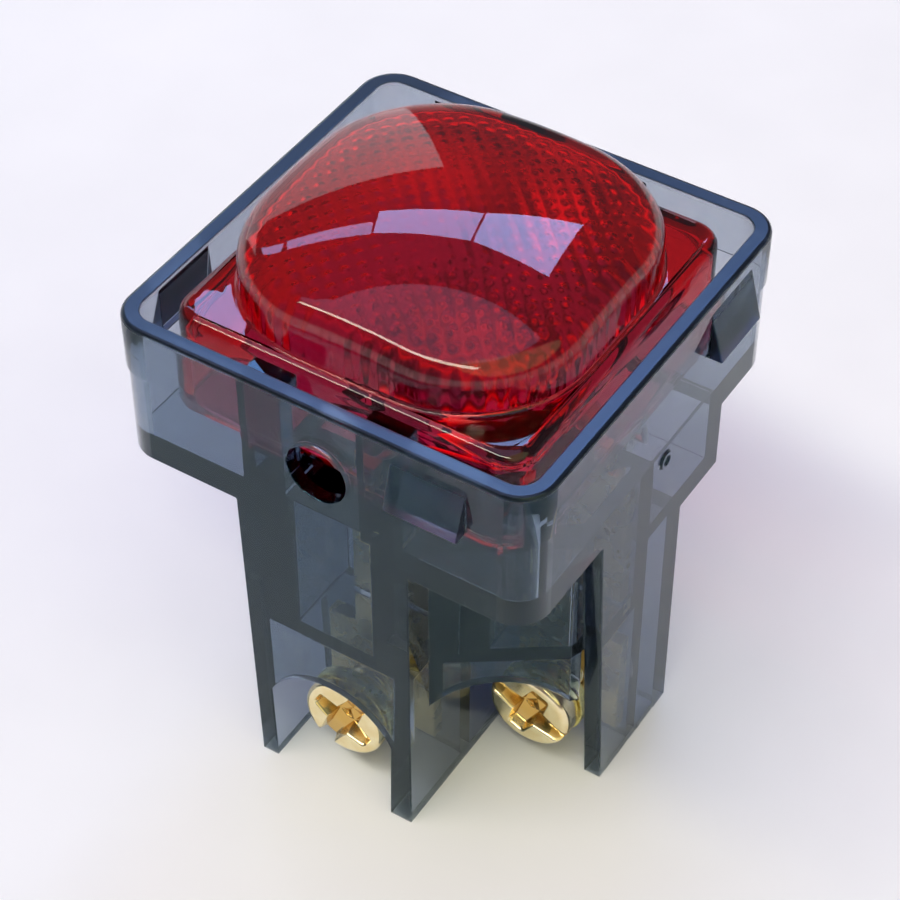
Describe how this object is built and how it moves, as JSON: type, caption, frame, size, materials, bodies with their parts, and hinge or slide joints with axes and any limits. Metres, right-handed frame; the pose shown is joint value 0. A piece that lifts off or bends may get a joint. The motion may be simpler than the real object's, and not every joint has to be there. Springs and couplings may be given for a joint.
{
  "type": "panel pilot light",
  "caption": "Square snap-in indicator module: domed red prismatic lens over a neon lamp, with brass screw terminals in a clear smoke-grey housing.",
  "frame": {"origin": "middle of the square frame, on the plane of the terminal fins' feet", "axes": "-Y is the side that the screw heads face, +X is the side of the set-back terminal, +Z is towards the lens"},
  "size_m": [0.0388, 0.0388, 0.0477],
  "materials": {
    "smoke_clear": "clear smoke-grey polycarbonate, glossy, dark blue where it is thick",
    "red_clear": "clear deep red polycarbonate, polished outside, prismatic inside",
    "lamp_glass": "clear glass",
    "tinned_wire": "tinned wire",
    "resistor_lacquer": "lacquered ceramic rod",
    "cap_steel": "plated steel cap",
    "sleeve_plastic": "cream insulating sleeve",
    "solder": "bright solder",
    "strip_brass": "pressed brass strip",
    "washer_brass": "pressed brass, slightly dull",
    "screw_brass": "bright turned brass"
  },
  "bodies": {
    "body": {"housing": "smoke_clear", "lens": "red_clear", "neon_glass": "lamp_glass", "neon_electrode_front": "tinned_wire", "neon_electrode_back": "tinned_wire", "resistor_body": "resistor_lacquer", "resistor_cap_left": "cap_steel", "resistor_cap_right": "cap_steel", "resistor_lead_left": "tinned_wire", "resistor_lead_right": "tinned_wire", "sleeve_front": "sleeve_plastic", "sleeve_back": "sleeve_plastic", "solder_joint_left": "solder", "solder_joint_middle": "solder", "solder_joint_right": "solder", "terminal_left": "strip_brass", "terminal_right": "strip_brass"},
    "left_clamp": {"clamp_washer_left": "washer_brass"},
    "left_screw": {"terminal_screw_left": "screw_brass"},
    "right_clamp": {"clamp_washer_right": "washer_brass"},
    "right_screw": {"terminal_screw_right": "screw_brass"}
  },
  "joints": [
    {"name": "left_clamp_travel", "type": "slide", "parent": "body", "child": "left_clamp", "axis": [0, 1, 0], "range_m": [-0.0007, 0.0021]},
    {"name": "left_screw_turn", "type": "hinge", "parent": "left_clamp", "child": "left_screw", "pos_m": [0.00022, -0.0165, 0.0063], "axis": [0, 1, 0], "range_deg": [-360, 1080]},
    {"name": "right_clamp_travel", "type": "slide", "parent": "body", "child": "right_clamp", "axis": [0, 1, 0], "range_m": [-0.0007, 0.0021]},
    {"name": "right_screw_turn", "type": "hinge", "parent": "right_clamp", "child": "right_screw", "pos_m": [0.0121, -0.0078, 0.0063], "axis": [0, 1, 0], "range_deg": [-360, 1080]}
  ],
  "couplings": [
    {"joint": "left_screw_turn", "follows": "left_clamp_travel", "rad_per_m": 8976},
    {"joint": "right_screw_turn", "follows": "right_clamp_travel", "rad_per_m": 8976}
  ]
}
